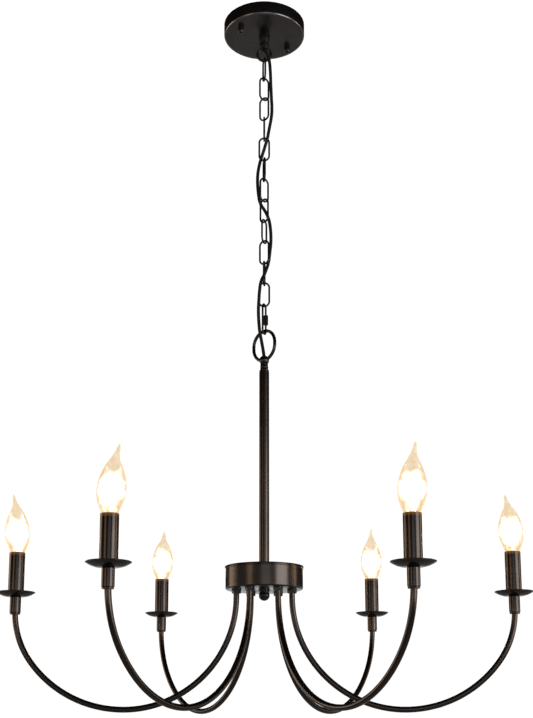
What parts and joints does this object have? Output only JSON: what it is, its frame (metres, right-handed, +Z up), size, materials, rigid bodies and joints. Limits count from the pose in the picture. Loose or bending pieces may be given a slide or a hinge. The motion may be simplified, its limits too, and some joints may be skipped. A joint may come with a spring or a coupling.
{
  "type": "multi arm chandelier",
  "caption": "Chain-hung chandelier: round ceiling canopy, link chain with woven cord, stem with loop, drum hub and sweeping tube arms that carry candle lamps on drip pans.",
  "frame": {"origin": "centre of the canopy at the ceiling plane", "axes": "+Z up out of the ceiling face, +X along one arm, the stem's axis is Z"},
  "size_m": [0.7326, 0.6414, 1.0175],
  "materials": {
    "dark_bronze_paint": "dark oil-rubbed bronze, satin",
    "canopy_paint": "dark bronze, near black, matte",
    "black_chain_finish": "black, satin",
    "zinc_steel": "bright zinc plate",
    "green_steel": "green grounding screw",
    "lead_insulation": "white insulation",
    "wire_nut_plastic": "orange moulded",
    "cord_jacket": "black jacket",
    "brass": "plain brass",
    "socket_plastic": "moulded ivory",
    "lamp_base_brass": "bright screw base",
    "bulb_glass": "clear, lit warm"
  },
  "bodies": {
    "canopy_body": {"ceiling_bar": "zinc_steel", "canopy_studs": "zinc_steel", "ground_screw": "green_steel", "canopy": "canopy_paint", "canopy_ball_nuts": "black_chain_finish", "canopy_loop": "black_chain_finish", "canopy_loop_nut": "zinc_steel", "canopy_leads": "lead_insulation", "canopy_wire_nuts": "wire_nut_plastic", "supply_cord": "cord_jacket"},
    "link_01": {"chain_link_01": "black_chain_finish"},
    "link_02": {"chain_link_02": "black_chain_finish"},
    "link_03": {"chain_link_03": "black_chain_finish"},
    "link_04": {"chain_link_04": "black_chain_finish"},
    "link_05": {"chain_link_05": "black_chain_finish"},
    "link_06": {"chain_link_06": "black_chain_finish"},
    "link_07": {"chain_link_07": "black_chain_finish"},
    "link_08": {"chain_link_08": "black_chain_finish"},
    "link_09": {"chain_link_09": "black_chain_finish"},
    "link_10": {"chain_link_10": "black_chain_finish"},
    "link_11": {"chain_link_11": "black_chain_finish"},
    "link_12": {"chain_link_12": "black_chain_finish"},
    "quick_link": {"quick_link": "black_chain_finish"},
    "quick_link_sleeve": {"quick_link_sleeve": "black_chain_finish"},
    "fixture": {"stem_loop": "dark_bronze_paint", "stem_tube": "dark_bronze_paint", "hub_cover": "dark_bronze_paint", "hub_nipple": "zinc_steel", "hub_lock_nut": "zinc_steel", "hub_cup": "dark_bronze_paint", "hub_yoke": "brass", "finial": "black_chain_finish", "hub_leads": "lead_insulation", "hub_wire_nuts": "wire_nut_plastic", "arm_1": "dark_bronze_paint", "arm_2": "dark_bronze_paint", "arm_3": "dark_bronze_paint", "arm_4": "dark_bronze_paint", "arm_5": "dark_bronze_paint", "arm_6": "dark_bronze_paint", "arm_flange_nuts": "black_chain_finish", "arm_lock_nuts": "zinc_steel", "arm_wires": "lead_insulation", "candle_cups": "dark_bronze_paint", "drip_pans": "dark_bronze_paint", "candle_sleeves": "dark_bronze_paint", "lamp_sockets": "socket_plastic", "socket_shells": "brass"},
    "bulb_base_1": {"bulb_base_1": "lamp_base_brass"},
    "bulb_glass_1": {"bulb_glass_1": "bulb_glass"},
    "bulb_base_2": {"bulb_base_2": "lamp_base_brass"},
    "bulb_glass_2": {"bulb_glass_2": "bulb_glass"},
    "bulb_base_3": {"bulb_base_3": "lamp_base_brass"},
    "bulb_glass_3": {"bulb_glass_3": "bulb_glass"},
    "bulb_base_4": {"bulb_base_4": "lamp_base_brass"},
    "bulb_glass_4": {"bulb_glass_4": "bulb_glass"},
    "bulb_base_5": {"bulb_base_5": "lamp_base_brass"},
    "bulb_glass_5": {"bulb_glass_5": "bulb_glass"},
    "bulb_base_6": {"bulb_base_6": "lamp_base_brass"},
    "bulb_glass_6": {"bulb_glass_6": "bulb_glass"}
  },
  "joints": [
    {"name": "link_01_swing", "type": "hinge", "parent": "canopy_body", "child": "link_01", "pos_m": [0, 0, -0.05835], "axis": [1, 0, 0], "range_deg": [-25, 25], "deforming": ["supply_cord"]},
    {"name": "link_02_swing", "type": "hinge", "parent": "link_01", "child": "link_02", "pos_m": [0, 0, -0.0901], "axis": [-0.2419, 0.9703, 0], "range_deg": [-25, 25]},
    {"name": "link_03_swing", "type": "hinge", "parent": "link_02", "child": "link_03", "pos_m": [0, 0, -0.12235], "axis": [-0.866, -0.5, 0], "range_deg": [-25, 25]},
    {"name": "link_04_swing", "type": "hinge", "parent": "link_03", "child": "link_04", "pos_m": [0, 0, -0.1546], "axis": [0.866, -0.5, 0], "range_deg": [-25, 25]},
    {"name": "link_05_swing", "type": "hinge", "parent": "link_04", "child": "link_05", "pos_m": [0, 0, -0.18685], "axis": [0, 1, 0], "range_deg": [-25, 25]},
    {"name": "link_06_swing", "type": "hinge", "parent": "link_05", "child": "link_06", "pos_m": [0, 0, -0.2191], "axis": [-1, 0, 0], "range_deg": [-25, 25]},
    {"name": "link_07_swing", "type": "hinge", "parent": "link_06", "child": "link_07", "pos_m": [0, 0, -0.25135], "axis": [0.1736, -0.9848, 0], "range_deg": [-25, 25]},
    {"name": "link_08_swing", "type": "hinge", "parent": "link_07", "child": "link_08", "pos_m": [0, 0, -0.2836], "axis": [0.766, 0.6428, 0], "range_deg": [-25, 25]},
    {"name": "link_09_swing", "type": "hinge", "parent": "link_08", "child": "link_09", "pos_m": [0, 0, -0.31585], "axis": [-0.766, 0.6428, 0], "range_deg": [-25, 25]},
    {"name": "link_10_swing", "type": "hinge", "parent": "link_09", "child": "link_10", "pos_m": [0, 0, -0.3481], "axis": [-0.4226, -0.9063, 0], "range_deg": [-25, 25]},
    {"name": "link_11_swing", "type": "hinge", "parent": "link_10", "child": "link_11", "pos_m": [0, 0, -0.38035], "axis": [0.866, -0.5, 0], "range_deg": [-25, 25]},
    {"name": "link_12_swing", "type": "hinge", "parent": "link_11", "child": "link_12", "pos_m": [0, 0, -0.4126], "axis": [0.0872, 0.9962, 0], "range_deg": [-25, 25]},
    {"name": "quick_link_swing", "type": "hinge", "parent": "link_12", "child": "quick_link", "pos_m": [0, 0, -0.44485], "axis": [-0.9962, 0.0872, 0], "range_deg": [-25, 25]},
    {"name": "fixture_swing", "type": "hinge", "parent": "quick_link", "child": "fixture", "pos_m": [0, 0, -0.4862], "axis": [-0.3907, -0.9205, 0], "range_deg": [-25, 25]},
    {"name": "quick_link_sleeve_slide", "type": "slide", "parent": "quick_link", "child": "quick_link_sleeve", "axis": [0, 0, 1], "range_m": [0, 0.008]},
    {"name": "bulb_1_lift", "type": "slide", "parent": "fixture", "child": "bulb_base_1", "axis": [0, 0, 1], "range_m": [0, 0.01016]},
    {"name": "bulb_1_turn", "type": "hinge", "parent": "bulb_base_1", "child": "bulb_glass_1", "pos_m": [0.34, 0, -0.78], "axis": [0, 0, 1], "range_deg": [0, 1440]},
    {"name": "bulb_2_lift", "type": "slide", "parent": "fixture", "child": "bulb_base_2", "axis": [0, 0, 1], "range_m": [0, 0.01016]},
    {"name": "bulb_2_turn", "type": "hinge", "parent": "bulb_base_2", "child": "bulb_glass_2", "pos_m": [0.17, 0.29445, -0.78], "axis": [0, 0, 1], "range_deg": [0, 1440]},
    {"name": "bulb_3_lift", "type": "slide", "parent": "fixture", "child": "bulb_base_3", "axis": [0, 0, 1], "range_m": [0, 0.01016]},
    {"name": "bulb_3_turn", "type": "hinge", "parent": "bulb_base_3", "child": "bulb_glass_3", "pos_m": [-0.17, 0.29445, -0.78], "axis": [0, 0, 1], "range_deg": [0, 1440]},
    {"name": "bulb_4_lift", "type": "slide", "parent": "fixture", "child": "bulb_base_4", "axis": [0, 0, 1], "range_m": [0, 0.01016]},
    {"name": "bulb_4_turn", "type": "hinge", "parent": "bulb_base_4", "child": "bulb_glass_4", "pos_m": [-0.34, 0, -0.78], "axis": [0, 0, 1], "range_deg": [0, 1440]},
    {"name": "bulb_5_lift", "type": "slide", "parent": "fixture", "child": "bulb_base_5", "axis": [0, 0, 1], "range_m": [0, 0.01016]},
    {"name": "bulb_5_turn", "type": "hinge", "parent": "bulb_base_5", "child": "bulb_glass_5", "pos_m": [-0.17, -0.29445, -0.78], "axis": [0, 0, 1], "range_deg": [0, 1440]},
    {"name": "bulb_6_lift", "type": "slide", "parent": "fixture", "child": "bulb_base_6", "axis": [0, 0, 1], "range_m": [0, 0.01016]},
    {"name": "bulb_6_turn", "type": "hinge", "parent": "bulb_base_6", "child": "bulb_glass_6", "pos_m": [0.17, -0.29445, -0.78], "axis": [0, 0, 1], "range_deg": [0, 1440]}
  ],
  "couplings": [
    {"joint": "bulb_1_turn", "follows": "bulb_1_lift", "rad_per_m": 2473.7},
    {"joint": "bulb_2_turn", "follows": "bulb_2_lift", "rad_per_m": 2473.7},
    {"joint": "bulb_3_turn", "follows": "bulb_3_lift", "rad_per_m": 2473.7},
    {"joint": "bulb_4_turn", "follows": "bulb_4_lift", "rad_per_m": 2473.7},
    {"joint": "bulb_5_turn", "follows": "bulb_5_lift", "rad_per_m": 2473.7},
    {"joint": "bulb_6_turn", "follows": "bulb_6_lift", "rad_per_m": 2473.7}
  ]
}
